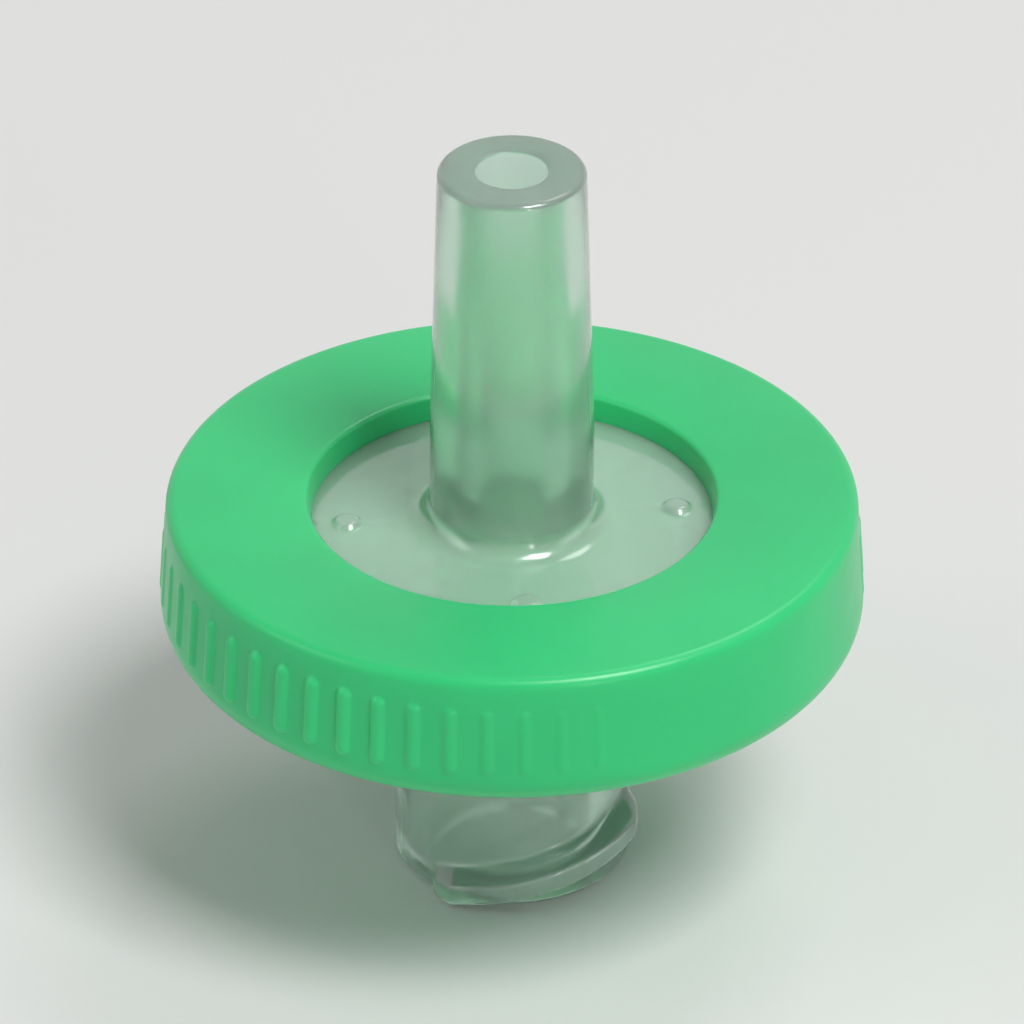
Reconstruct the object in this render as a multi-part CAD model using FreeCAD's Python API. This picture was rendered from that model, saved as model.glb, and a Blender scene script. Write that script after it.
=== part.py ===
"""Syringe filter: two translucent shells that clamp a membrane, sealed by an overmoulded grip ring.

The filter stands on the mouth of its female Luer inlet with its male Luer outlet pointing up.
Frame: millimetres, +Z up along the flow axis, origin in the middle of the inlet's mouth.
Each piece is written to parts/NAME.step.
"""
import FreeCAD, Part
import math
import os

V = FreeCAD.Vector
UP = V(0, 0, 1)

# ---------------------------------------------------------------- driving dimensions, millimetres
# Membrane and the stack that holds it
MEMBRANE_D = 13.0           # cut diameter of the membrane disc
MEMBRANE_T = 0.18           # its thickness
MEMBRANE_GAP = 0.05         # clearance round its edge in the outlet shell's seat
CLAMP_W = 0.80              # width of the rim on which the shells clamp it
WELD_LAND_W = 1.45          # flat width outside the seat where the two shells meet
RING_WALL = 1.50            # ring thickness outside the shells' flanges
LIP_COVER = 1.10            # how far the ring's lips reach inwards past the membrane's edge
SHELL_WALL = 0.80           # floor thickness of both shells
LIP_T = 0.70                # thickness of the ring's lips, so the depth of both recesses
CHAMBER_H = 0.35            # free height under the membrane, inlet side
DRAIN_H = 0.35              # depth of the drain channels above the membrane

# Overmoulded ring
RING_CORNER_INLET = 0.90    # soft outer corner on the inlet side
RING_CORNER_OUTLET = 0.30   # tighter outer corner on the outlet side
RING_DRAFT = 4.0            # degrees, the rim narrows towards the outlet
LIP_EDGE_R = 0.15           # round on the lips' inner edges
LIP_DRAFT = 8.0             # degrees, slope of the recess walls
FLANGE_BEVEL = 0.25         # bevel on the flanges that keys the ring in place
GRIP_GROUPS = 2             # groups of grip ribs round the rim
GRIP_RIBS = 19              # ribs in each group
GRIP_PITCH = 6.0            # degrees between ribs
GRIP_RIB_W = 0.50           # diameter of the round bar that forms a rib
GRIP_RIB_H = 0.16           # height of the tallest ribs above the rim
GRIP_RIB_END_H = 0.03       # height of the last rib at each end of a group
GRIP_START_GAP = 0.10       # gap between the soft corner and the ribs
GRIP_STOP_MARGIN = 0.80     # plain rim left between the ribs and the outlet face

# Female Luer lock inlet
LUER_TAPER = 0.06           # change of diameter per length, both ends
SOCKET_D = 4.28             # socket diameter at its mouth
SOCKET_DEPTH = 7.50         # length of the tapered socket
SOCKET_EDGE_R = 0.15        # round at the socket's mouth
SOCKET_WEB = 1.30           # plastic between the socket's end and the chamber
INLET_ORIFICE_D = 1.60      # hole from the socket into the chamber
BARREL_D = 6.40             # barrel diameter at the mouth
BARREL_DRAFT = 0.5          # degrees, the barrel widens towards the shell
BARREL_EDGE_R = 0.12        # round on the mouth's outer edge
BARREL_ROOT_R = 0.50        # fillet where the barrel meets the shell
LUG_H = 0.68                # height of a lock lug above the barrel
LUG_ROOT_W = 1.30           # width of a lug at the barrel
LUG_CREST_W = 0.55          # width of a lug near its crest
LUG_CREST_BEVEL = 0.10      # bevel along both edges of the crest
LUG_LEAD = 5.00             # advance of the lock thread in one turn
LUG_SWEEP = 115.0           # degrees that each lug covers
LUG_RAMP = 14.0             # degrees over which each end of a lug rises out of the barrel
LUG_START_Z = 0.25          # height of the lug's middle where it starts, at the mouth
LUG_SINK = 0.30             # how far a lug's body reaches into the barrel wall
LUG_SECTION_STEP = 5.0      # degrees between the sections that shape a lug, at most
LUGS = 2                    # lugs round the barrel

# Male Luer slip outlet
TIP_D = 3.95                # diameter at the tip
TIP_TAPER_LEN = 7.50        # length of the tapered part
TUBE_LEN = 10.70            # length of the tube above the outlet shell's floor
TUBE_BORE_D = 1.90          # bore of the tube
TUBE_ROOT_R = 0.65          # fillet where the tube meets the shell
TIP_EDGE_R = 0.18           # round on the tip's outer edge

# Ribs inside the shells and pips on their floors
SPREADER_RIBS = 12          # radial ribs that spread the flow below the membrane
SPREADER_W = 0.35           # their width
SPREADER_H = 0.25           # their height
SUPPORT_RINGS = 5           # rings that carry the membrane on the outlet side
SUPPORT_RING_W = 0.35       # width of each
DRAIN_CHANNELS = 8          # radial channels cut through the support rings
DRAIN_CHANNEL_W = 0.60      # their width
PIPS = 4                    # small round pips on each floor
PIP_D = 0.70                # their diameter
PIP_H = 0.15                # their height
PIP_EDGE = 0.95             # distance from a pip's middle to the recess wall
PIP_TURN = 45.0             # degrees from the first lug to the first pip
PIP_SINK = 0.10             # how far a pip's body reaches into the shell

# ---------------------------------------------------------------- derived sizes
MEMBRANE_R = MEMBRANE_D / 2
CHAMBER_R = MEMBRANE_R - CLAMP_W
SEAT_R = MEMBRANE_R + MEMBRANE_GAP
FLANGE_R = SEAT_R + WELD_LAND_W
RING_R = FLANGE_R + RING_WALL
OPENING_FLOOR_R = MEMBRANE_R - LIP_COVER
OPENING_FACE_R = OPENING_FLOOR_R + LIP_T * math.tan(math.radians(LIP_DRAFT))

Z_CHAMBER = SOCKET_DEPTH + SOCKET_WEB       # inner face of the inlet shell
Z_INLET_FLOOR = Z_CHAMBER - SHELL_WALL      # outer face of the inlet shell
Z_CLAMP = Z_CHAMBER + CHAMBER_H             # plane where the shells meet, underside of the membrane
Z_SEAT = Z_CLAMP + MEMBRANE_T               # top of the membrane
Z_DRAIN = Z_SEAT + DRAIN_H                  # ceiling of the drain channels
Z_OUTLET_FLOOR = Z_DRAIN + SHELL_WALL       # outer face of the outlet shell
Z_RING_LOW = Z_INLET_FLOOR - LIP_T
Z_RING_HIGH = Z_OUTLET_FLOOR + LIP_T
Z_TIP = Z_OUTLET_FLOOR + TUBE_LEN

SOCKET_R = SOCKET_D / 2
SOCKET_END_R = SOCKET_R - LUER_TAPER / 2 * SOCKET_DEPTH
BARREL_R = BARREL_D / 2
TIP_R = TIP_D / 2
TUBE_R = TIP_R + LUER_TAPER / 2 * TIP_TAPER_LEN
PIP_CIRCLE_R = OPENING_FLOOR_R - PIP_EDGE


def barrel_radius(z):
    """Radius of the inlet barrel at height z."""
    return BARREL_R + z * math.tan(math.radians(BARREL_DRAFT))


def rim_radius(z):
    """Radius at height z of the ring's drafted rim, a line that leaves the soft corner's arc."""
    slope = math.radians(RING_DRAFT)
    arc_r = RING_R - RING_CORNER_INLET
    arc_z = Z_RING_LOW + RING_CORNER_INLET
    return arc_r + RING_CORNER_INLET / math.cos(slope) - (z - arc_z) * math.tan(slope)


# ---------------------------------------------------------------- helpers
def rounded_wire(corners):
    """Closed wire in the XZ plane through corners (r, z, radius), each rounded by a tangent arc."""
    count = len(corners)
    spans = []
    for i in range(count):
        r, z, radius = corners[i]
        here = V(r, 0, z)
        back = V(corners[i - 1][0], 0, corners[i - 1][1]) - here
        ahead = V(corners[(i + 1) % count][0], 0, corners[(i + 1) % count][1]) - here
        back.normalize()
        ahead.normalize()
        if radius <= 0:
            spans.append((here, None, here))
            continue
        half = back.getAngle(ahead) / 2
        reach = radius / math.tan(half)
        bisector = back + ahead
        bisector.normalize()
        middle = here + bisector * (radius / math.sin(half) - radius)
        spans.append((here + back * reach, middle, here + ahead * reach))
    edges = []
    for i in range(count):
        start, middle, end = spans[i]
        if middle is not None:
            edges.append(Part.Arc(start, middle, end).toShape())
        edges.append(Part.LineSegment(end, spans[(i + 1) % count][0]).toShape())
    return Part.Wire(edges)


def turned(corners):
    """Solid of revolution about Z of a closed outline of corners (r, z, radius)."""
    face = Part.Face(rounded_wire(corners))
    return face.revolve(V(0, 0, 0), UP, 360)


def around(shape, count, start=0.0, step=None):
    """Copies of a shape turned about Z, evenly round the circle unless a step in degrees is given."""
    step = 360.0 / count if step is None else step
    copies = []
    for i in range(count):
        copy = shape.copy()
        copy.rotate(V(0, 0, 0), UP, start + i * step)
        copies.append(copy)
    return copies


def tube(outer_r, inner_r, z_low, z_high):
    """Plain tube about Z."""
    outer = Part.makeCylinder(outer_r, z_high - z_low, V(0, 0, z_low))
    return outer.cut(Part.makeCylinder(inner_r, z_high - z_low, V(0, 0, z_low)))


def pips(z_face, outward):
    """Small round pips on a shell's floor, standing out from z_face by PIP_H (outward is 1 or -1)."""
    z_low = z_face - PIP_SINK if outward > 0 else z_face - PIP_H
    pip = Part.makeCylinder(PIP_D / 2, PIP_H + PIP_SINK, V(PIP_CIRCLE_R, 0, z_low))
    return around(pip, PIPS, PIP_TURN)


# ---------------------------------------------------------------- pieces
def lug_section(angle):
    """Outline of a lock lug's section at an angle in degrees from its start: a bevelled ridge."""
    z = LUG_START_Z + LUG_LEAD * angle / 360
    ends = min(angle, LUG_SWEEP - angle) / LUG_RAMP
    height = LUG_CREST_BEVEL + (LUG_H - LUG_CREST_BEVEL) * min(1.0, max(0.0, ends)) ** 0.5
    root_r = barrel_radius(z) - LUG_SINK
    crest_r = BARREL_R + height
    shoulder_r = crest_r - LUG_CREST_BEVEL
    half_root = LUG_ROOT_W / 2
    half_crest = LUG_CREST_W / 2
    half_top = half_crest - LUG_CREST_BEVEL
    out = V(1, 0, 0)
    half = [(root_r, half_root), (shoulder_r, half_crest), (crest_r, half_top)]
    upper = [out * r + UP * (z + w) for r, w in half]
    lower = [out * r + UP * (z - w) for r, w in reversed(half)]
    outline = Part.makePolygon(upper + lower + upper[:1])
    outline.rotate(V(0, 0, 0), UP, angle)
    return outline


def lock_lug():
    """One lug of the Luer lock: a ridge along part of a right-hand helix, ramped at both ends."""
    steps = math.ceil(LUG_SWEEP / LUG_SECTION_STEP)
    sections = [lug_section(LUG_SWEEP * i / steps) for i in range(steps + 1)]
    return Part.makeLoft(sections, True, False)


def inlet_housing():
    """Inlet shell: female Luer lock barrel, disc that closes the filter's lower side, spreader ribs."""
    body = turned([
        (SOCKET_R, 0, SOCKET_EDGE_R),
        (SOCKET_END_R, SOCKET_DEPTH, 0),
        (INLET_ORIFICE_D / 2, SOCKET_DEPTH, 0),
        (INLET_ORIFICE_D / 2, Z_CHAMBER, 0),
        (CHAMBER_R, Z_CHAMBER, 0),
        (CHAMBER_R, Z_CLAMP, 0),
        (FLANGE_R, Z_CLAMP, 0),
        (FLANGE_R, Z_INLET_FLOOR + FLANGE_BEVEL, 0),
        (FLANGE_R - FLANGE_BEVEL, Z_INLET_FLOOR, 0),
        (barrel_radius(Z_INLET_FLOOR), Z_INLET_FLOOR, BARREL_ROOT_R),
        (BARREL_R, 0, BARREL_EDGE_R),
    ])
    above_mouth = Part.makeCylinder(RING_R, Z_CLAMP)
    lugs = [lug.common(above_mouth) for lug in around(lock_lug(), LUGS)]
    socket = Part.makeCone(SOCKET_R, SOCKET_END_R, SOCKET_DEPTH)
    lugs = [lug.cut(socket) for lug in lugs]
    rib_start = INLET_ORIFICE_D / 2 + SPREADER_W * 2
    rib = Part.makeBox(CHAMBER_R - SPREADER_W - rib_start, SPREADER_W, SPREADER_H + SHELL_WALL / 2,
                       V(rib_start, -SPREADER_W / 2, Z_CHAMBER - SHELL_WALL / 2))
    return body.multiFuse(lugs + around(rib, SPREADER_RIBS) + pips(Z_INLET_FLOOR, -1)).removeSplitter()


def outlet_housing():
    """Outlet shell: male Luer slip tube, disc that closes the upper side, rings that carry the membrane."""
    bore_r = TUBE_BORE_D / 2
    body = turned([
        (bore_r, Z_DRAIN, 0),
        (bore_r, Z_TIP, 0),
        (TIP_R, Z_TIP, TIP_EDGE_R),
        (TUBE_R, Z_TIP - TIP_TAPER_LEN, 0),
        (TUBE_R, Z_OUTLET_FLOOR, TUBE_ROOT_R),
        (FLANGE_R - FLANGE_BEVEL, Z_OUTLET_FLOOR, 0),
        (FLANGE_R, Z_OUTLET_FLOOR - FLANGE_BEVEL, 0),
        (FLANGE_R, Z_CLAMP, 0),
        (SEAT_R, Z_CLAMP, 0),
        (SEAT_R, Z_SEAT, 0),
        (CHAMBER_R, Z_SEAT, 0),
        (CHAMBER_R, Z_DRAIN, 0),
    ])
    pitch = (CHAMBER_R - bore_r) / (SUPPORT_RINGS + 1)
    rings = []
    for i in range(SUPPORT_RINGS):
        middle = bore_r + pitch * (i + 1)
        ring = tube(middle + SUPPORT_RING_W / 2, middle - SUPPORT_RING_W / 2, Z_SEAT, Z_DRAIN + SHELL_WALL / 2)
        rings.append(ring)
    channel = Part.makeBox(CHAMBER_R, DRAIN_CHANNEL_W, DRAIN_H, V(0, -DRAIN_CHANNEL_W / 2, Z_SEAT))
    support = rings[0].multiFuse(rings[1:]).cut(Part.makeCompound(around(channel, DRAIN_CHANNELS)))
    return body.multiFuse([support] + pips(Z_OUTLET_FLOOR, 1)).removeSplitter()


def membrane():
    """Membrane disc, clamped at its edge between the shells."""
    return Part.makeCylinder(MEMBRANE_R, MEMBRANE_T, V(0, 0, Z_CLAMP))


def grip_rib(height):
    """One round-ended rib that stands out of the drafted rim by height, at angle 0."""
    z_low = Z_RING_LOW + RING_CORNER_INLET + GRIP_START_GAP
    z_high = Z_RING_HIGH - GRIP_STOP_MARGIN
    radius = GRIP_RIB_W / 2
    inset = height - radius
    low = V(rim_radius(z_low) + inset, 0, z_low + radius)
    high = V(rim_radius(z_high) + inset, 0, z_high - radius)
    bar = Part.makeCylinder(radius, low.distanceToPoint(high), low, high - low)
    return bar.multiFuse([Part.makeSphere(radius, low), Part.makeSphere(radius, high)])


def rib_height(place):
    """Height of the rib at a place in its group: full in the middle, fading towards both ends."""
    middle = (GRIP_RIBS - 1) / 2
    share = abs(place - middle) / middle
    return GRIP_RIB_END_H + (GRIP_RIB_H - GRIP_RIB_END_H) * math.cos(share * math.pi / 2) ** 2


def overmould_ring():
    """Grip ring moulded round the shells' flanges, with a lip over each face and groups of ribs."""
    body = turned([
        (OPENING_FACE_R, Z_RING_LOW, LIP_EDGE_R),
        (rim_radius(Z_RING_LOW), Z_RING_LOW, RING_CORNER_INLET),
        (rim_radius(Z_RING_HIGH), Z_RING_HIGH, RING_CORNER_OUTLET),
        (OPENING_FACE_R, Z_RING_HIGH, LIP_EDGE_R),
        (OPENING_FLOOR_R, Z_OUTLET_FLOOR, 0),
        (FLANGE_R - FLANGE_BEVEL, Z_OUTLET_FLOOR, 0),
        (FLANGE_R, Z_OUTLET_FLOOR - FLANGE_BEVEL, 0),
        (FLANGE_R, Z_INLET_FLOOR + FLANGE_BEVEL, 0),
        (FLANGE_R - FLANGE_BEVEL, Z_INLET_FLOOR, 0),
        (OPENING_FLOOR_R, Z_INLET_FLOOR, 0),
    ])
    ribs = []
    for place in range(GRIP_RIBS):
        turn = (place - (GRIP_RIBS - 1) / 2) * GRIP_PITCH
        ribs += around(grip_rib(rib_height(place)), GRIP_GROUPS, turn)
    return body.multiFuse(ribs).removeSplitter()


PIECES = {
    "inlet_housing": inlet_housing,
    "outlet_housing": outlet_housing,
    "membrane": membrane,
    "overmould_ring": overmould_ring,
}


def main():
    os.makedirs("parts", exist_ok=True)
    for name, build in PIECES.items():
        shape = build()
        solids = shape.Solids
        box = shape.optimalBoundingBox(True, False)
        print(f"{name}: {len(solids)} solid, valid {shape.isValid()}, volume {shape.Volume:.3f} mm3, "
              f"z {box.ZMin:.3f} to {box.ZMax:.3f}, across {box.XLength:.3f} x {box.YLength:.3f}")
        (solids[0] if len(solids) == 1 else shape).exportStep(f"parts/{name}.step")


main()
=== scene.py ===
"""Syringe filter: the visible pieces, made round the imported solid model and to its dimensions.

Each piece is a closed outline in the half-plane (r, z) that is carried once round the flow axis Z. What
isn't round, such as grip ribs, lock lugs, pips and channels, is a smooth rise of the surface, worked out as
a function of the angle and of the place along the outline. The functions work in millimetres and degrees,
and the properties hold metres and radians.
"""
import math
from functools import cached_property
from types import SimpleNamespace

import bmesh
import bpy
import numpy as np
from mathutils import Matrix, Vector


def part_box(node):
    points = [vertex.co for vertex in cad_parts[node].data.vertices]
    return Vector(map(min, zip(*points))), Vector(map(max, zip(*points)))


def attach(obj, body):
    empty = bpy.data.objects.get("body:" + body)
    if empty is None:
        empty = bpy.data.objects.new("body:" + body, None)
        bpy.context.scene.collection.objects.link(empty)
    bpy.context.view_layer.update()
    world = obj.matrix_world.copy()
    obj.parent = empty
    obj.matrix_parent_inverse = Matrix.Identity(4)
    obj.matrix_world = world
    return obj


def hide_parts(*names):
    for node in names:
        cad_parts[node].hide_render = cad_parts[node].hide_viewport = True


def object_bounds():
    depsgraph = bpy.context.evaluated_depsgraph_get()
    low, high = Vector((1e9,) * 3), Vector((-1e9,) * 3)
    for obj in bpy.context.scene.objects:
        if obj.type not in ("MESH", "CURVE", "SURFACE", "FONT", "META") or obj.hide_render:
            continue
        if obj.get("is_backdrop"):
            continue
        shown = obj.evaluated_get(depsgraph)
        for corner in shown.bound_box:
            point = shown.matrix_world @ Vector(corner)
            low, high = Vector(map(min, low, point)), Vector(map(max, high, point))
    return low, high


bl_info = {
    "name": "Syringe filter",
    "version": (1, 0, 0),
    "blender": (4, 5, 0),
    "location": "3D View > Sidebar > Filter",
    "description": "Builds the visible pieces of a round membrane filter and a plain studio round it",
    "category": "Object",
}

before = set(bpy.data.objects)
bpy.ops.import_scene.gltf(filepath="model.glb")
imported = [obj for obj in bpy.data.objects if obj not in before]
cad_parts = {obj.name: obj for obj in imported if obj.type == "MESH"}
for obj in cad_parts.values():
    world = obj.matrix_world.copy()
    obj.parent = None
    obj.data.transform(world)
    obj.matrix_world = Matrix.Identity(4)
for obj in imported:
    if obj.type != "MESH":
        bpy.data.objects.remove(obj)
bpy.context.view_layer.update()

MM = 0.001
BODY = "root"
LEVEL = 1e-6           # heights nearer than this are the same
SHARP_EDGE = 50.0      # degrees between faces from which an edge is sharp
STEP_EDGE = 0.015      # half width of the rows that stand at a sharp step of a height field
BOND = 0.02            # how far the ring's hidden faces reach into the shells that it is moulded onto
WELD_GAP = 0.01        # clearance between faces that would lie in one plane inside the clear plastic
SEAT_GAP = 0.005       # clearance between the membrane's top and what carries it
FLOOR_GAP = 0.01       # how far the floor lies below the mouth that stands on it
PIP_REACH = 0.65       # half width of the rows that carry the pips, as a share of a pip's diameter
PIP_FLANK = 0.12       # width over which a pip's side rises
PIP_SOFT = 0.25        # softness of that rise, as a share of its width
BAR_FLANK = 0.06       # width over which a bar's or channel's side rises
BAR_SOFT = 0.10        # softness of that rise, as a share of its width
LUG_SOFT = 0.14        # softness of a lug's flanks, as a share of their width
LUG_END_SOFT = 0.05    # softness of its ends, as a share of their angle
LUG_TAIL = 2.5         # degrees over which a lug's low end runs out
LUG_IN = 0.40          # where a lug's flat end starts on the mouth, from the socket's edge
LUG_FADE = 0.35        # width over which it comes to its full size
LUG_CLEAR = 0.60       # how far the barrel's close rows go past a lug's middle, as a share of its root width
RIB_FOOT = 0.02        # how far the plain rim starts beyond the ribs' ends
RIB_END = 0.32         # length of a rib's end that gets close rows
RIB_FALL = 3.0         # slope of the side below a rib's circle
RIB_BLEND = 0.035      # softness of the joint between a rib and the rim
FILM_RINGS = 12        # rings of points on each face of the membrane
PLASTIC_IOR = 1.49     # how strongly polypropylene and the ring's plastic bend light
FADE = (0.12, 0.45)    # metres from the filter between which the floor passes into the backdrop
CLIP = (0.001, 20.0)   # nearest and farthest that the camera sees, in metres

# points round the axis, by piece
COLUMNS = {"inlet_shell": 600, "outlet_shell": 720, "membrane_film": 360, "grip_ring": 1440}


def node_box(node):
    """Lowest and highest corner of a solid node, in millimetres."""
    low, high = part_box(node)
    return np.array(low) / MM, np.array(high) / MM


INLET_LOW, INLET_HIGH = node_box("inlet_housing")
OUTLET_LOW, OUTLET_HIGH = node_box("outlet_housing")
RING_LOW, RING_HIGH = node_box("overmould_ring")
FILM_LOW, FILM_HIGH = node_box("membrane")


# ---------------------------------------------------------------- sizes and colours that a user would change
def length(name, description, default):
    """A length, given here in millimetres and held in metres."""
    return bpy.props.FloatProperty(
        name=name, description=description, default=default * MM, min=0.0, precision=5, subtype="DISTANCE",
        unit="LENGTH")


def angle(name, description, default):
    """An angle, given here in degrees and held in radians."""
    return bpy.props.FloatProperty(
        name=name, description=description, default=math.radians(default), subtype="ANGLE", unit="ROTATION")


def share(name, description, default):
    """A share from 0 to 1."""
    return bpy.props.FloatProperty(
        name=name, description=description, default=default, min=0.0, max=1.0, subtype="FACTOR")


def count(name, description, default, least=1):
    """A number of like features."""
    return bpy.props.IntProperty(name=name, description=description, default=default, min=least)


def colour(name, description, default):
    """A colour."""
    return bpy.props.FloatVectorProperty(
        name=name, description=description, default=default, subtype="COLOR", size=3, min=0.0, max=1.0)


def settings(group):
    """A group's values by name, with lengths in millimetres and angles in degrees, to four places."""
    scale = {"LENGTH": 1 / MM, "ROTATION": math.degrees(1)}
    values = {}
    for key, prop in group.bl_rna.properties.items():
        if key in {"rna_type", "name"}:
            continue
        value = getattr(group, key)
        if prop.unit in scale:
            value = round(value * scale[prop.unit], 4)
        elif prop.subtype == "COLOR":
            value = tuple(value)
        values[key] = value
    return SimpleNamespace(**values)


class FILTER_PG_shells(bpy.types.PropertyGroup):
    """Sizes and colour of the two translucent shells."""

    # The disc tint is milky plastic with painted green light, as if bounced from green rings round the
    # filter.
    disc_tint_with_painted_green: colour("Disc tint", "Colour of the discs over the white membrane", (0.56, 0.91, 0.67))
    disc_clearness: share("Disc clearness", "Share of the light that passes straight through a disc", 0.50)
    # The tube tint is milky plastic with painted green light, as if bounced from green rings round the
    # filter.
    tube_tint_with_painted_green: colour("Tube tint", "Colour of the barrel and the tube", (0.72, 0.89, 0.785))
    tube_clearness: share("Tube clearness", "The same for the barrel and the tube", 0.82)
    wall: length("Floor thickness", "Thickness of both shells' floors", 0.80)
    recess: length("Recess", "Depth of both floors below the ring's faces", 0.70)
    bevel: length("Flange bevel", "Bevel on the flanges' outer edges", 0.25)
    chamber_r: length("Chamber radius", "Radius of the chamber on both sides of the film", 5.70)
    socket_d: length("Socket diameter", "Diameter of the tapered socket at its mouth", 4.28)
    socket_depth: length("Socket depth", "Length of the tapered socket", 7.50)
    socket_edge: length("Socket edge", "Round on the socket's edge at the mouth", 0.15)
    taper: share("Taper", "Change of diameter per length of socket and tip", 0.06)
    orifice_d: length("Orifice diameter", "Hole from the socket into the chamber", 1.60)
    barrel_d: length("Barrel diameter", "Diameter of the inlet barrel at its mouth", 6.40)
    barrel_draft: angle("Barrel draft", "Angle by which the barrel widens towards the shell", 0.5)
    barrel_edge: length("Barrel edge", "Round on the barrel's outer edge at the mouth", 0.12)
    barrel_root: length("Barrel root", "Fillet where the barrel meets the shell", 0.50)
    lugs: count("Lugs", "Lock lugs round the barrel", 2)
    lug_h: length("Lug height", "Height of a lock lug above the barrel", 0.68)
    lug_root_w: length("Lug root width", "Width of a lug at the barrel", 1.30)
    lug_crest_w: length("Lug crest width", "Width of a lug near its crest", 0.55)
    lug_lead: length("Lug lead", "Advance of the lock thread in one turn", 5.00)
    lug_sweep: angle("Lug sweep", "Angle that each lug covers", 115.0)
    lug_ramp: angle("Lug ramp", "Angle over which the end of a lug rises", 14.0)
    lug_start: length("Lug start", "Height of the lug's middle where it starts", 0.25)
    tip_d: length("Tip diameter", "Diameter of the outlet at its tip", 3.95)
    tip_length: length("Tip length", "Length of the tapered tip", 7.50)
    tip_edge: length("Tip edge", "Round on the tip's outer edge", 0.18)
    tube_blend: length("Tube blend", "Radius of the blend from the taper to the straight tube", 6.0)
    tube_root: length("Tube root", "Fillet where the outlet meets the shell", 0.65)
    bore_d: length("Bore diameter", "Bore of the outlet", 1.90)
    bore_edge: length("Bore edge", "Round on the bore's edge at the tip", 0.08)
    film_gap: length("Membrane gap", "Clearance round the membrane's edge", 0.05)
    spreader_ribs: count("Spreader ribs", "Ribs that spread the flow below the membrane", 12)
    spreader_w: length("Spreader width", "Width of the spreader ribs", 0.35)
    spreader_h: length("Spreader height", "Height of the spreader ribs", 0.25)
    support_rings: count("Support rings", "Rings that carry the membrane", 5)
    support_w: length("Support width", "Width of the support rings", 0.35)
    channels: count("Drain channels", "Channels through the support rings", 8)
    channel_w: length("Channel width", "Width of the drain channels", 0.60)
    pips: count("Pips", "Small pips on each floor", 4)
    pip_turn: angle("Pip turn", "Angle from the first lug to the first pip", 45.0)
    pip_d: length("Pip diameter", "Diameter of the small pips on both floors", 0.70)
    pip_h: length("Pip height", "Height of the small pips on both floors", 0.15)
    pip_circle_r: length("Pip circle", "Radius of the circle on which the pips stand", 4.45)


class FILTER_PG_ring(bpy.types.PropertyGroup):
    """Sizes and colour of the overmoulded grip ring."""

    tint: colour("Tint", "Colour of the ring", (0.022, 0.60, 0.20))
    opening_r: length("Opening radius", "Radius of the opening at the shells' floors", 5.40)
    lip_draft: angle("Lip draft", "Slope of the recess walls", 8.0)
    lip_edge: length("Lip edge", "Round on the lips' inner edges", 0.15)
    corner_inlet: length("Soft corner", "Outer corner on the inlet side", 0.90)
    corner_outlet: length("Tight corner", "Outer corner on the outlet side", 0.30)
    draft: angle("Rim draft", "Angle by which the rim narrows towards the outlet", 4.0)
    groups: count("Rib groups", "Groups of grip ribs round the rim", 2)
    ribs: count("Ribs", "Ribs in each group", 19, least=3)
    pitch: angle("Rib pitch", "Angle between ribs", 6.0)
    rib_w: length("Rib width", "Diameter of the round bar that forms a rib", 0.50)
    rib_h: length("Rib height", "Height of the tallest ribs", 0.16)
    rib_end_h: length("End rib height", "Height of the last rib of a group", 0.03)
    rib_start: length("Rib start", "Gap between the soft corner and the ribs", 0.10)
    rib_stop: length("Rib stop", "Plain rim between the ribs and the outlet face", 0.80)


class FILTER_PG_film(bpy.types.PropertyGroup):
    """Colour of the filter membrane."""

    tint: colour("Tint", "Colour of the membrane", (0.88, 0.88, 0.86))


class FILTER_PG_stage(bpy.types.PropertyGroup):
    """The plain studio round the filter."""

    floor: colour("Floor", "Colour of the floor", (0.80, 0.80, 0.79))
    backdrop: colour("Backdrop", "Colour of the backdrop, which shows past the floor", (0.84, 0.84, 0.835))
    ambient: share("Ambient light", "Strength of the even light from all round", 0.25)
    azimuth: angle("Azimuth", "Direction from which the camera looks, 0 from the front", -50.0)
    elevation: angle("Elevation", "Angle of the camera above the horizon", 32.0)
    lens: bpy.props.FloatProperty(
        name="Lens", description="Focal length of the camera", default=300.0, min=20.0,
        subtype="DISTANCE_CAMERA", unit="CAMERA")
    margin: bpy.props.FloatProperty(
        name="Margin", description="Distance of the camera, as a multiple of that at which a ball round the "
        "filter fills the view", default=0.80, min=0.5)


# ---------------------------------------------------------------- shape functions
def soft_step(x, softness):
    """Smooth clamp of x to 0..1: (sqrt(x^2 + s^2) - sqrt((x - 1)^2 + s^2) + 1) / 2, rounded over s."""
    s2 = softness * softness
    return (np.sqrt(x * x + s2) - np.sqrt((x - 1.0) ** 2 + s2) + 1.0) / 2.0


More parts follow.
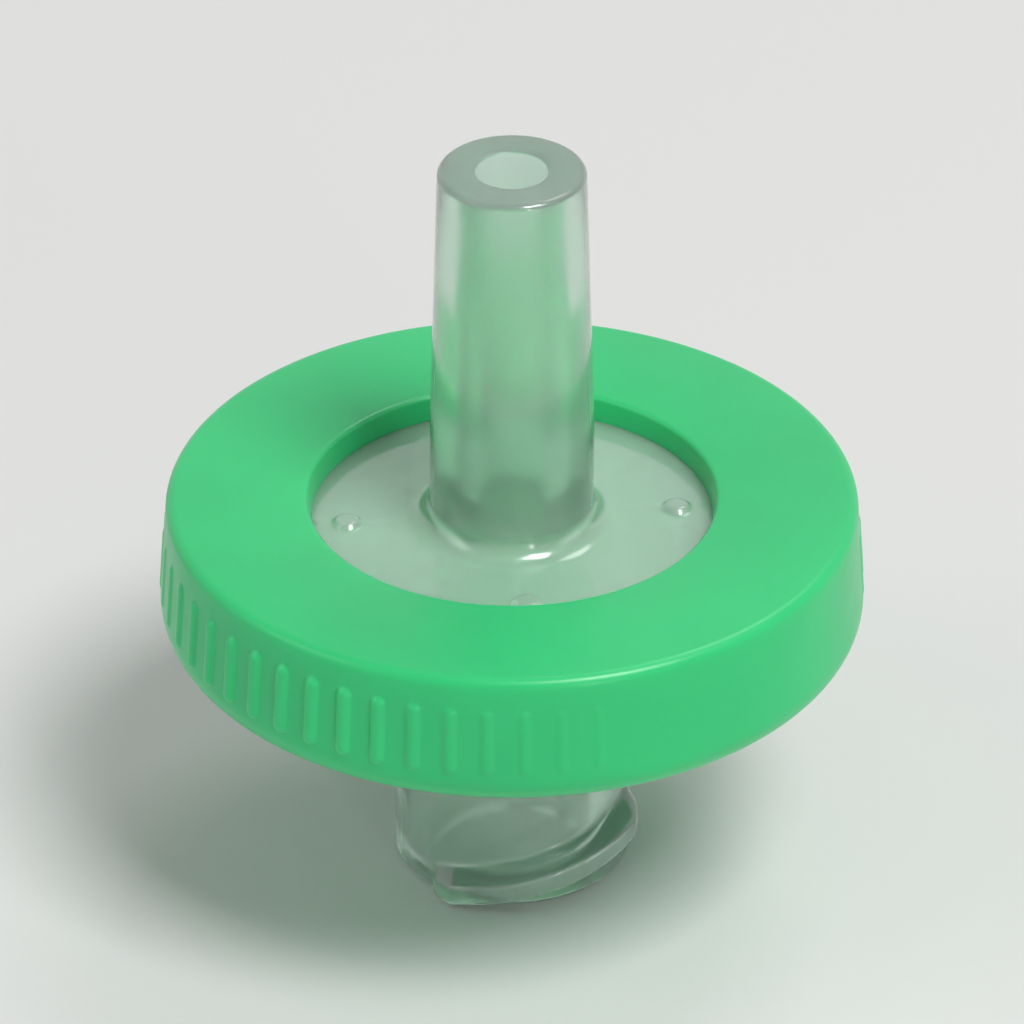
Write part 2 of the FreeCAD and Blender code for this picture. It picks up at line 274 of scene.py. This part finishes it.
def rounded_outline(corners):
    """Points (r, z) of a closed outline through corners (r, z, radius, arc steps, steps to the next corner).

    A corner with a radius becomes the tangent arc centre + (sin((1 - t) a) s + sin(t a) e) / sin(a), where
    s and e lead from the arc's centre to its ends and a is the angle between them. A straight is divided
    evenly.
    """
    place = np.array([c[:2] for c in corners], float)
    back = np.roll(place, 1, axis=0) - place
    ahead = np.roll(place, -1, axis=0) - place
    back /= np.linalg.norm(back, axis=1, keepdims=True)
    ahead /= np.linalg.norm(ahead, axis=1, keepdims=True)
    half = np.arccos(np.clip((back * ahead).sum(1), -1, 1)) / 2
    runs = []
    for i, (_, _, radius, arc_steps, _) in enumerate(corners):
        if radius <= 0:
            runs.append(place[i:i + 1])
            continue
        reach = radius / math.tan(half[i])
        bisector = (back[i] + ahead[i]) / np.linalg.norm(back[i] + ahead[i])
        centre = place[i] + bisector * radius / math.sin(half[i])
        start = place[i] + back[i] * reach - centre
        end = place[i] + ahead[i] * reach - centre
        sweep = math.pi - 2 * half[i]
        t = np.linspace(0, 1, arc_steps + 1)[:, None]
        runs.append(centre + (np.sin((1 - t) * sweep) * start + np.sin(t * sweep) * end) / math.sin(sweep))
    points = []
    for i, (r, z, _, _, steps) in enumerate(corners):
        leave, arrive = runs[i][-1], runs[(i + 1) % len(corners)][0]
        if (arrive - leave) @ ahead[i] < -LEVEL:
            raise ValueError(f"the rounds don't fit on the straight that leaves r {r:.3f}, z {z:.3f}")
        t = np.linspace(0, 1, steps + 1)[1:-1, None]
        points += [runs[i], leave + (arrive - leave) * t]
    return np.concatenate(points)


def swept(outline, columns):
    """Radii, heights and angles of an outline carried once round the axis, of shape (rows, columns)."""
    a = np.arange(columns) * 360.0 / columns
    return np.broadcast_arrays(outline[:, :1], outline[:, 1:], a[None, :])


def turned_mesh(name, r, z, poles=False):
    """A mesh from rows of radii and heights, r and z of shape (rows, columns): x = r cos(a), y = r sin(a).

    The columns run once round the axis. The rows are a closed outline, or, with poles, an open one whose
    ends lie on the axis and become one point each. The faces are turned outwards by the sign of the volume
    they enclose.
    """
    rows, columns = r.shape
    a = np.arange(columns) * 2 * math.pi / columns
    points = (np.stack([r * np.cos(a), r * np.sin(a), z], axis=-1) * MM).reshape(-1, 3)
    start = np.arange(rows - 1 if poles else rows)[:, None] * columns
    after = (start + columns) % (rows * columns)
    j = np.arange(columns)[None, :]
    j2 = (j + 1) % columns
    quads = np.stack(np.broadcast_arrays(start + j, start + j2, after + j2, after + j), axis=-1)
    quads = quads.reshape(-1, 4)
    p = points[quads]
    volume = (np.cross(p[:, 0], p[:, 1]) * p[:, 2]).sum() + (np.cross(p[:, 0], p[:, 2]) * p[:, 3]).sum()
    if volume < 0:
        quads = quads[:, ::-1]
    mesh = bpy.data.meshes.new(name)
    mesh.vertices.add(len(points))
    mesh.vertices.foreach_set("co", points.astype(np.float32).ravel())
    mesh.loops.add(quads.size)
    mesh.loops.foreach_set("vertex_index", quads.astype(np.int32).ravel())
    mesh.polygons.add(len(quads))
    mesh.polygons.foreach_set("loop_start", np.arange(0, quads.size, 4, dtype=np.int32))
    mesh.polygons.foreach_set("use_smooth", np.ones(len(quads), bool))
    mesh.update(calc_edges=True)
    if poles:
        work = bmesh.new()
        work.from_mesh(mesh)
        bmesh.ops.remove_doubles(work, verts=work.verts, dist=1e-7)
        work.to_mesh(mesh)
        work.free()
    mesh.validate()
    return mesh


def place_piece(mesh, node, material):
    """Puts a finished mesh in the scene, under its own name, as the visible piece of a node."""
    mesh.set_sharp_from_angle(angle=math.radians(SHARP_EDGE))
    mesh.materials.append(material)
    piece = bpy.data.objects.new(mesh.name, mesh)
    bpy.context.scene.collection.objects.link(piece)
    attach(piece, BODY)
    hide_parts(node)


def off_nearest(a, number, first=0.0):
    """Signed angle in degrees to the nearest of some evenly spaced directions."""
    step = 360.0 / number
    return (a - first + step / 2) % step - step / 2


def pips_rise(r, a, shells):
    """Rise of round pips: a soft step of the distance to the nearest pip's middle on its circle."""
    near = np.radians(off_nearest(a, shells.pips, shells.pip_turn))
    distance = np.hypot(r * np.cos(near) - shells.pip_circle_r, r * np.sin(near))
    return shells.pip_h * soft_step((shells.pip_d / 2 - distance) / PIP_FLANK + 0.5, PIP_SOFT)


def bars_share(r, a, number, width):
    """1 inside evenly spaced radial bars and 0 outside: a soft step of the distance across a bar."""
    across = np.abs(r * np.sin(np.radians(off_nearest(a, number))))
    return soft_step((width / 2 - across) / BAR_FLANK + 0.5, BAR_SOFT)


def lugs_rise(z, a, shells):
    """Rise of the lock lugs above the barrel.

    Each lug follows a right-hand helix: its middle is at start + lead * turn / 360. Across it the height
    falls by a soft step from the crest's half width to the root's. Along it the height is the square root
    of a soft step at either end.
    """
    turn = (a + LUG_TAIL) % (360.0 / shells.lugs) - LUG_TAIL
    middle = shells.lug_start + shells.lug_lead * turn / 360.0
    across = (shells.lug_root_w / 2 - np.abs(z - middle)) / ((shells.lug_root_w - shells.lug_crest_w) / 2)
    ends = np.minimum(turn, shells.lug_sweep - turn)
    along = np.sqrt(soft_step(ends / shells.lug_ramp, LUG_END_SOFT)) * np.clip(ends / LUG_TAIL + 1, 0, 1)
    return shells.lug_h * soft_step(across, LUG_SOFT) * along


def ribs_rise(r, z, a, ring, low, high):
    """Rise of the grip ribs, each a round bar with rounded ends that stands a little out of the rim.

    At a distance d from its middle line, a bar of radius R whose top stands h out of the rim is h - R +
    sqrt(R^2 - d^2) high. It is joined to the rim by a soft maximum, which leaves a small fillet at the
    foot. h falls as the square of a cosine from the middle of a group. place counts the ribs from there, in
    whole numbers for an odd group and in halves for an even one.
    """
    turn = off_nearest(a, ring.groups)
    most = (ring.ribs - 1) / 2
    offset = most % 1
    place = np.round(turn / ring.pitch - offset) + offset
    out = np.clip(np.abs(place) / most, 0, 1)
    top = ring.rib_end_h + (ring.rib_h - ring.rib_end_h) * np.cos(out * math.pi / 2) ** 2
    radius = ring.rib_w / 2
    across = np.radians(turn - place * ring.pitch) * r
    beyond = np.maximum(0, np.maximum(low + radius - z, z - high + radius))
    d2 = across ** 2 + beyond ** 2
    bar = top - radius + np.sqrt(np.maximum(radius ** 2 - d2, 0))
    bar = bar - RIB_FALL * np.sqrt(np.maximum(d2 - radius ** 2, 0))
    rise = (bar + np.sqrt(bar * bar + RIB_BLEND ** 2)) / 2
    return np.maximum(rise - RIB_BLEND ** 2 / (4 * radius), 0) * (np.abs(place) <= most)


# ---------------------------------------------------------------- materials
def scaled(rgb, factor):
    """A colour made lighter or darker."""
    return tuple(min(1.0, c * factor) for c in rgb)


class Recipe:
    """The nodes of a material or a world, with short ways to add a node and link it."""

    def __init__(self, owner, output="OutputMaterial"):
        owner.use_nodes = True
        self.nodes, self.links = owner.node_tree.nodes, owner.node_tree.links
        self.nodes.clear()
        self.output = self.node(output)

    def node(self, kind, inputs=None, **options):
        """A new node with its options set, and each input linked to an output or set to a value."""
        node = self.nodes.new("ShaderNode" + kind)
        for key, value in options.items():
            setattr(node, key, value)
        for key, value in (inputs or {}).items():
            socket = node.inputs[key]
            if isinstance(value, bpy.types.NodeSocket):
                self.links.new(value, socket)
            elif socket.type == "RGBA":
                socket.default_value = (*value, 1)
            else:
                socket.default_value = value
        return node

    def finish(self, shader):
        """Links the last shader to the output."""
        self.links.new(shader, self.output.inputs["Surface"])

    @cached_property
    def place(self):
        """Object coordinates, which are those of the whole frame."""
        return self.node("TexCoord").outputs["Object"]

    def noise(self, scale, detail, roughness=0.55):
        """A noise texture, with its scale in waves per metre."""
        inputs = {"Vector": self.place, "Scale": scale, "Detail": detail, "Roughness": roughness}
        return self.node("TexNoise", inputs).outputs["Fac"]

    def ranged(self, value, low, high, start=0.3, stop=0.7):
        """A value between start and stop mapped to a range."""
        inputs = {"Value": value, "From Min": start, "From Max": stop, "To Min": low, "To Max": high}
        return self.node("MapRange", inputs).outputs["Result"]

    def math(self, operation, *values):
        """The result of a calculation."""
        return self.node("Math", dict(enumerate(values)), operation=operation).outputs[0]

    def two_colours(self, factor, first, second):
        """A mix of two colours by a factor."""
        inputs = {"Factor": factor, "A": first, "B": second}
        return self.node("Mix", inputs, data_type="RGBA").outputs["Result"]

    def mottled(self, factor, tint, darker, lighter):
        """A colour that varies a little from darker to lighter."""
        return self.two_colours(factor, scaled(tint, darker), scaled(tint, lighter))

    def bump(self, height, strength, distance, **under):
        """A bump from a height, over another one given as Normal."""
        inputs = {"Height": height, "Strength": strength, "Distance": distance, **under}
        return self.node("Bump", inputs).outputs["Normal"]

    def mixed(self, factor, first, second):
        """A mix of two shaders by a factor."""
        return self.node("MixShader", {0: factor, 1: first, 2: second}).outputs[0]

    def principled(self, **inputs):
        """A Principled shader. An input's name is written with _ for a space."""
        spaced = {key.replace("_", " "): value for key, value in inputs.items()}
        return self.node("BsdfPrincipled", spaced).outputs[0]

    def seen_directly(self):
        """1 for rays that the camera, a reflection or clear plastic sends out, 0 for light that bounces."""
        path = self.node("LightPath").outputs
        seen = self.math("MAXIMUM", path["Is Camera Ray"], path["Is Glossy Ray"])
        return self.math("MAXIMUM", seen, path["Is Transmission Ray"])


def frosted_plastic(name, shells):
    """Milky translucent polypropylene under a polished skin, with painted green light in both of its tints.

    The discs look whiter and less clear than the barrel and the tube, because the white membrane lies just
    behind them. The finish passes from one to the other over the fillet's height, by the distance from the
    middle plane.
    """
    material = bpy.data.materials.new(name)
    recipe = Recipe(material)
    middle = (RING_LOW[2] + RING_HIGH[2]) / 2
    disc_edge = (RING_HIGH[2] - middle - shells.recess) * MM
    height = recipe.node("SeparateXYZ", {0: recipe.place}).outputs["Z"]
    away = recipe.math("ABSOLUTE", recipe.math("SUBTRACT", height, middle * MM))
    tube = recipe.ranged(away, 0.0, 1.0, disc_edge, disc_edge + shells.tube_root * MM)
    flow = recipe.ranged(recipe.noise(220.0, 2.0), 0.0, 1.0)
    # Both tints hold the plastic's own milky colour plus painted green light, as if bounced from green rings
    # round it.
    disc_colour_with_painted_green = recipe.mottled(flow, shells.disc_tint_with_painted_green, 0.96, 1.03)
    tube_colour_with_painted_green = recipe.mottled(flow, shells.tube_tint_with_painted_green, 0.96, 1.03)
    recipe.finish(recipe.principled(
        Base_Color=recipe.two_colours(tube, disc_colour_with_painted_green, tube_colour_with_painted_green),
        Transmission_Weight=recipe.ranged(tube, shells.disc_clearness, shells.tube_clearness, 0.0, 1.0),
        Roughness=recipe.ranged(recipe.noise(900.0, 4.0), 0.10, 0.16),
        Normal=recipe.bump(recipe.noise(9000.0, 2.0), 0.10, 0.00001),
        IOR=PLASTIC_IOR,
        Subsurface_Weight=1.0,
        Subsurface_Radius=(1.0, 1.15, 1.05),
        Subsurface_Scale=0.0012,
        Coat_Weight=0.7,
        Coat_Roughness=0.08,
    ))
    return material


def ring_plastic(ring):
    """Spring-green moulded plastic with a satin skin that lets a little light in."""
    material = bpy.data.materials.new("ring_plastic")
    recipe = Recipe(material)
    flow = recipe.noise(160.0, 2.0)
    soft = recipe.bump(flow, 0.12, 0.0001)
    recipe.finish(recipe.principled(
        Base_Color=recipe.mottled(recipe.ranged(flow, 0.0, 1.0), ring.tint, 0.93, 1.05),
        Roughness=recipe.ranged(recipe.noise(1200.0, 4.0), 0.28, 0.34),
        Normal=recipe.bump(recipe.noise(3500.0, 3.0), 0.08, 0.00002, Normal=soft),
        IOR=PLASTIC_IOR,
        Subsurface_Weight=0.35,
        Subsurface_Radius=(0.15, 1.0, 0.4),
        Subsurface_Scale=0.0008,
    ))
    return material


def membrane_film(film):
    """White porous film: matt, with a fine fibrous grain."""
    material = bpy.data.materials.new("membrane_film")
    recipe = Recipe(material)
    grain = recipe.noise(6000.0, 5.0, 0.7)
    recipe.finish(recipe.principled(
        Base_Color=recipe.mottled(recipe.ranged(grain, 0.0, 1.0), film.tint, 0.95, 1.04),
        Roughness=recipe.ranged(grain, 0.80, 0.95),
        Normal=recipe.bump(grain, 0.4, 0.00003),
    ))
    return material


def floor_board(stage):
    """Plain pale board that passes into the backdrop far off, and isn't there for a camera below it."""
    material = bpy.data.materials.new("floor_board")
    recipe = Recipe(material)
    cloud = recipe.noise(6.0, 3.0)
    board = recipe.principled(
        Base_Color=recipe.mottled(recipe.ranged(cloud, 0.0, 1.0), stage.floor, 0.985, 1.015),
        Roughness=recipe.ranged(cloud, 0.55, 0.65),
    )
    distance = recipe.node("VectorMath", {0: recipe.place}, operation="LENGTH").outputs["Value"]
    far = recipe.ranged(distance, 0.0, 1.0, *FADE)
    backdrop = recipe.node("Emission", {"Color": stage.backdrop}).outputs[0]
    faded = recipe.mixed(recipe.math("MULTIPLY", far, recipe.seen_directly()), board, backdrop)
    below = recipe.math("MULTIPLY", recipe.node("NewGeometry").outputs["Backfacing"],
                        recipe.node("LightPath").outputs["Is Camera Ray"])
    recipe.finish(recipe.mixed(below, faded, recipe.node("BsdfTransparent").outputs[0]))
    return material


# ---------------------------------------------------------------- pieces
class FILTER_OT_inlet(bpy.types.Operator):
    """Builds the inlet shell: barrel with tapered socket and lock lugs, closing disc, spreader ribs, pips"""

    bl_idname = "syringe_filter.inlet"
    bl_label = "Inlet shell"

    def execute(self, context):
        shells = settings(context.scene.filter_shells)
        top = INLET_HIGH[2]
        flange_r = INLET_HIGH[0]
        floor_z = RING_LOW[2] + shells.recess
        chamber_z = floor_z + shells.wall
        socket_r = shells.socket_d / 2
        socket_end_r = socket_r - shells.taper / 2 * shells.socket_depth
        orifice_r = shells.orifice_d / 2
        barrel_r = shells.barrel_d / 2
        draft = math.tan(math.radians(shells.barrel_draft))
        lug_top = shells.lug_start + shells.lug_lead * shells.lug_sweep / 360 + shells.lug_root_w * LUG_CLEAR
        ribs_in, ribs_out = orifice_r + shells.spreader_w * 2, shells.chamber_r - shells.spreader_w
        pip_in = shells.pip_circle_r - shells.pip_d * PIP_REACH
        pip_out = shells.pip_circle_r + shells.pip_d * PIP_REACH
        r, z, a = swept(rounded_outline([
            (socket_r, 0, shells.socket_edge, 5, 2),
            (socket_end_r, shells.socket_depth, 0, 0, 1),
            (orifice_r, shells.socket_depth, 0, 0, 2),
            (orifice_r, chamber_z, 0, 0, 1),
            (ribs_in - STEP_EDGE, chamber_z, 0, 0, 1),
            (ribs_in + STEP_EDGE, chamber_z, 0, 0, 12),
            (ribs_out - STEP_EDGE, chamber_z, 0, 0, 1),
            (ribs_out + STEP_EDGE, chamber_z, 0, 0, 1),
            (shells.chamber_r, chamber_z, 0, 0, 1),
            (shells.chamber_r, top, 0, 0, 1),
            (flange_r, top, 0, 0, 1),
            (flange_r, floor_z + shells.bevel, 0, 0, 1),
            (flange_r - shells.bevel, floor_z, 0, 0, 1),
            (pip_out, floor_z, 0, 0, 16),
            (pip_in, floor_z, 0, 0, 1),
            (barrel_r + floor_z * draft, floor_z, shells.barrel_root, 7, 2),
            (barrel_r + lug_top * draft, lug_top, 0, 0, 46),
            (barrel_r, 0, shells.barrel_edge, 5, 5),
        ]), COLUMNS["inlet_shell"])
        on_barrel = np.clip((r - socket_r - LUG_IN) / LUG_FADE, 0, 1) * (z < floor_z - shells.barrel_root)
        on_floor = (np.abs(z - floor_z) < LEVEL) * (r > pip_in - LEVEL) * (r < pip_out + LEVEL)
        on_ribs = (np.abs(z - chamber_z) < LEVEL) * (r > ribs_in) * (r < ribs_out)
        z = z - pips_rise(r, a, shells) * on_floor
        z = z + shells.spreader_h * bars_share(r, a, shells.spreader_ribs, shells.spreader_w) * on_ribs
        r = r + lugs_rise(z, a, shells) * on_barrel
        mesh = turned_mesh("inlet_shell", r, z)
        place_piece(mesh, "inlet_housing", frosted_plastic("inlet_plastic", shells))
        return {"FINISHED"}


class FILTER_OT_outlet(bpy.types.Operator):
    """Builds the outlet shell: tapered outlet tube, closing disc, rings that carry the membrane, pips"""

    bl_idname = "syringe_filter.outlet"
    bl_label = "Outlet shell"

    def execute(self, context):
        shells = settings(context.scene.filter_shells)
        low = OUTLET_LOW[2] + WELD_GAP
        tip_z = OUTLET_HIGH[2]
        flange_r = OUTLET_HIGH[0]
        seat_z = FILM_HIGH[2] + SEAT_GAP
        floor_z = RING_HIGH[2] - shells.recess
        drain_z = floor_z - shells.wall
        seat_r = FILM_HIGH[0] + shells.film_gap
        bore_r = shells.bore_d / 2
        tip_r = shells.tip_d / 2
        tube_r = tip_r + shells.taper / 2 * shells.tip_length
        pip_in = shells.pip_circle_r - shells.pip_d * PIP_REACH
        pip_out = shells.pip_circle_r + shells.pip_d * PIP_REACH
        pitch = (shells.chamber_r - bore_r) / (shells.support_rings + 1)
        middles = [bore_r + pitch * (i + 1) for i in range(shells.support_rings)]
        edges = [middle + side * shells.support_w / 2 for middle in reversed(middles) for side in (1, -1)]
        r, z, a = swept(rounded_outline([
            (bore_r, drain_z, 0, 0, 1),
            (bore_r, tip_z, shells.bore_edge, 3, 3),
            (tip_r, tip_z, shells.tip_edge, 6, 3),
            (tube_r, tip_z - shells.tip_length, shells.tube_blend, 4, 1),
            (tube_r, floor_z, shells.tube_root, 9, 1),
            (pip_in, floor_z, 0, 0, 18),
            (pip_out, floor_z, 0, 0, 1),
            (flange_r - shells.bevel, floor_z, 0, 0, 1),
            (flange_r, floor_z - shells.bevel, 0, 0, 1),
            (flange_r, low, 0, 0, 1),
            (seat_r, low, 0, 0, 1),
            (seat_r, seat_z, 0, 0, 1),
            (shells.chamber_r, seat_z, 0, 0, 1),
            (shells.chamber_r, drain_z, 0, 0, 1),
            *((edge + side * STEP_EDGE, drain_z, 0, 0, 1) for edge in edges for side in (1, -1)),
        ]), COLUMNS["outlet_shell"])
        on_floor = (np.abs(z - floor_z) < LEVEL) * (r > pip_in - LEVEL) * (r < pip_out + LEVEL)
        off_ring = np.min([np.abs(r - middle) for middle in middles], axis=0)
        on_ring = (np.abs(z - drain_z) < LEVEL) * (off_ring < shells.support_w / 2)
        z = z + pips_rise(r, a, shells) * on_floor
        z = z - (drain_z - seat_z) * on_ring * (1 - bars_share(r, a, shells.channels, shells.channel_w))
        mesh = turned_mesh("outlet_shell", r, z)
        place_piece(mesh, "outlet_housing", frosted_plastic("outlet_plastic", shells))
        return {"FINISHED"}


class FILTER_OT_membrane(bpy.types.Operator):
    """Builds the filter membrane, clamped between the shells"""

    bl_idname = "syringe_filter.membrane"
    bl_label = "Membrane"

    def execute(self, context):
        film = settings(context.scene.filter_film)
        radii = np.linspace(0, FILM_HIGH[0] - 2 * WELD_GAP, FILM_RINGS)
        heights = [FILM_LOW[2] + WELD_GAP, FILM_HIGH[2] - WELD_GAP]
        outline = np.stack([np.append(radii, radii[::-1]), np.repeat(heights, len(radii))], axis=1)
        r, z, _ = swept(outline, COLUMNS["membrane_film"])
        mesh = turned_mesh("membrane_film", r, z, poles=True)
        place_piece(mesh, "membrane", membrane_film(film))
        return {"FINISHED"}


class FILTER_OT_ring(bpy.types.Operator):
    """Builds the grip ring that is moulded round both shells, with its groups of ribs"""

    bl_idname = "syringe_filter.ring"
    bl_label = "Grip ring"

    def execute(self, context):
        ring = settings(context.scene.filter_ring)
        shells = settings(context.scene.filter_shells)
        low, high = RING_LOW[2], RING_HIGH[2]
        slope = math.radians(ring.draft)
        soft_z = low + ring.corner_inlet
        soft_r = RING_HIGH[1] - ring.corner_inlet * (1 - 1 / math.cos(slope))
        rib_low, rib_high = soft_z + ring.rib_start, high - ring.rib_stop

        def rim(height):
            """The drafted rim's radius and height: a point of the line that leaves the soft corner's arc."""
            return soft_r - (height - soft_z) * math.tan(slope), height

        lip_r = ring.opening_r + shells.recess * math.tan(math.radians(ring.lip_draft))
        flange_r = INLET_HIGH[0]
        bevel_r = flange_r - shells.bevel
        floor_low, floor_high = low + shells.recess, high - shells.recess
        r, z, a = swept(rounded_outline([
            (lip_r, low, ring.lip_edge, 4, 1),
            (*rim(low), ring.corner_inlet, 12, 1),
            (*rim(rib_low - RIB_FOOT), 0, 0, 8),
            (*rim(rib_low + RIB_END), 0, 0, 3),
            (*rim(rib_high - RIB_END), 0, 0, 8),
            (*rim(rib_high + RIB_FOOT), 0, 0, 1),
            (*rim(high), ring.corner_outlet, 6, 1),
            (lip_r, high, ring.lip_edge, 4, 1),
            (ring.opening_r, floor_high - BOND, 0, 0, 1),
            (bevel_r - BOND, floor_high - BOND, 0, 0, 1),
            (flange_r - BOND, floor_high - shells.bevel - BOND, 0, 0, 1),
            (flange_r - BOND, floor_low + shells.bevel + BOND, 0, 0, 1),
            (bevel_r - BOND, floor_low + BOND, 0, 0, 1),
            (ring.opening_r, floor_low + BOND, 0, 0, 1),
        ]), COLUMNS["grip_ring"])
        on_rim = r > (flange_r + soft_r) / 2
        r = r + ribs_rise(r, z, a, ring, rib_low, rib_high) * on_rim
        place_piece(turned_mesh("grip_ring", r, z), "overmould_ring", ring_plastic(ring))
        return {"FINISHED"}


class FILTER_OT_stage(bpy.types.Operator):
    """Builds the plain studio: floor, lamps, world and camera"""

    bl_idname = "syringe_filter.stage"
    bl_label = "Studio"

    FLOOR_HALF = 3.0       # metres from the floor's middle to its edges
    LAMPS = (
        # name, degrees aside from the camera, degrees up, metres away, width and height in metres, watts
        ("key", 45, 60, 0.75, 0.28, 0.28, 3.6),
        ("streak", 25, 12, 0.60, 0.02, 0.25, 0.25),
        ("fill", -75, 35, 0.75, 0.40, 0.40, 0.6),
        ("rim", 150, 55, 0.75, 0.30, 0.20, 0.7),
    )

    def execute(self, context):
        scene = context.scene
        stage = settings(scene.filter_stage)
        low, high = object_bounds()
        centre = (low + high) / 2
        self.floor(scene, stage)
        self.world(scene, stage)
        self.camera(scene, stage, centre, (high - low).length / 2)
        for name, aside, rise, away, width, height, power in self.LAMPS:
            data = bpy.data.lights.new(name, "AREA")
            data.shape = "RECTANGLE"
            data.size, data.size_y, data.energy = width, height, power
            self.aim(scene, name, data, centre, stage.azimuth + aside, rise, away)
        return {"FINISHED"}

    @staticmethod
    def aim(scene, name, data, centre, azimuth, elevation, away):
        """Puts a lamp or the camera at angles and a distance, looking at the filter's middle."""
        thing = bpy.data.objects.new(name, data)
        scene.collection.objects.link(thing)
        turn, rise = math.radians(azimuth), math.radians(elevation)
        back = Vector((math.sin(turn) * math.cos(rise), -math.cos(turn) * math.cos(rise), math.sin(rise)))
        thing.location = centre + back * away
        thing.rotation_euler = (-back).to_track_quat("-Z", "Y").to_euler()
        return thing

    def floor(self, scene, stage):
        """A flat floor, wide enough to fill every view."""
        half, level = self.FLOOR_HALF, -FLOOR_GAP * MM
        corners = [(-half, -half, level), (half, -half, level), (half, half, level), (-half, half, level)]
        mesh = bpy.data.meshes.new("floor")
        mesh.from_pydata(corners, [], [(0, 1, 2, 3)])
        mesh.materials.append(floor_board(stage))
        floor = bpy.data.objects.new("floor", mesh)
        scene.collection.objects.link(floor)
        floor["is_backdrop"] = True

    def world(self, scene, stage):
        """Soft light from all round, and a pale backdrop for the camera, mirrors and clear plastic."""
        scene.world = bpy.data.worlds.new("studio")
        recipe = Recipe(scene.world, "OutputWorld")
        light = recipe.node("Background", {"Color": (1.0, 1.0, 1.0), "Strength": stage.ambient}).outputs[0]
        backdrop = recipe.node("Background", {"Color": stage.backdrop}).outputs[0]
        recipe.finish(recipe.mixed(recipe.seen_directly(), light, backdrop))

    def camera(self, scene, stage, centre, reach):
        """The camera, at the distance from which the filter fills the view."""
        data = bpy.data.cameras.new("camera")
        data.lens = stage.lens
        data.clip_start, data.clip_end = CLIP
        away = reach / math.sin(math.atan(data.sensor_width / 2 / data.lens)) * stage.margin
        scene.camera = self.aim(scene, "camera", data, centre, stage.azimuth, stage.elevation, away)
        scene.view_settings.view_transform = "Standard"


class FILTER_PT_panel(bpy.types.Panel):
    """Lists the filter's pieces and sizes in the sidebar"""

    bl_idname = "FILTER_PT_panel"
    bl_label = "Syringe filter"
    bl_space_type = "VIEW_3D"
    bl_region_type = "UI"
    bl_category = "Filter"

    def draw(self, context):
        for operator in OPERATORS:
            self.layout.operator(operator.bl_idname)
        for name in GROUPS:
            box = self.layout.box()
            group = getattr(context.scene, name)
            for key in vars(settings(group)):
                box.prop(group, key)


OPERATORS = (FILTER_OT_inlet, FILTER_OT_outlet, FILTER_OT_membrane, FILTER_OT_ring, FILTER_OT_stage)
GROUPS = {
    "filter_shells": FILTER_PG_shells,
    "filter_ring": FILTER_PG_ring,
    "filter_film": FILTER_PG_film,
    "filter_stage": FILTER_PG_stage,
}
CLASSES = (*GROUPS.values(), *OPERATORS, FILTER_PT_panel)


def register():
    """Registers every class and hangs the property groups on the scene."""
    for cls in CLASSES:
        bpy.utils.register_class(cls)
    for name, group in GROUPS.items():
        setattr(bpy.types.Scene, name, bpy.props.PointerProperty(type=group))


def unregister():
    """Takes back what register did."""
    for name in GROUPS:
        delattr(bpy.types.Scene, name)
    for cls in reversed(CLASSES):
        bpy.utils.unregister_class(cls)


def main():
    """Builds every piece and the studio."""
    register()
    bpy.ops.syringe_filter.inlet()
    bpy.ops.syringe_filter.outlet()
    bpy.ops.syringe_filter.membrane()
    bpy.ops.syringe_filter.ring()
    bpy.ops.syringe_filter.stage()


if __name__ == "__main__":
    main()
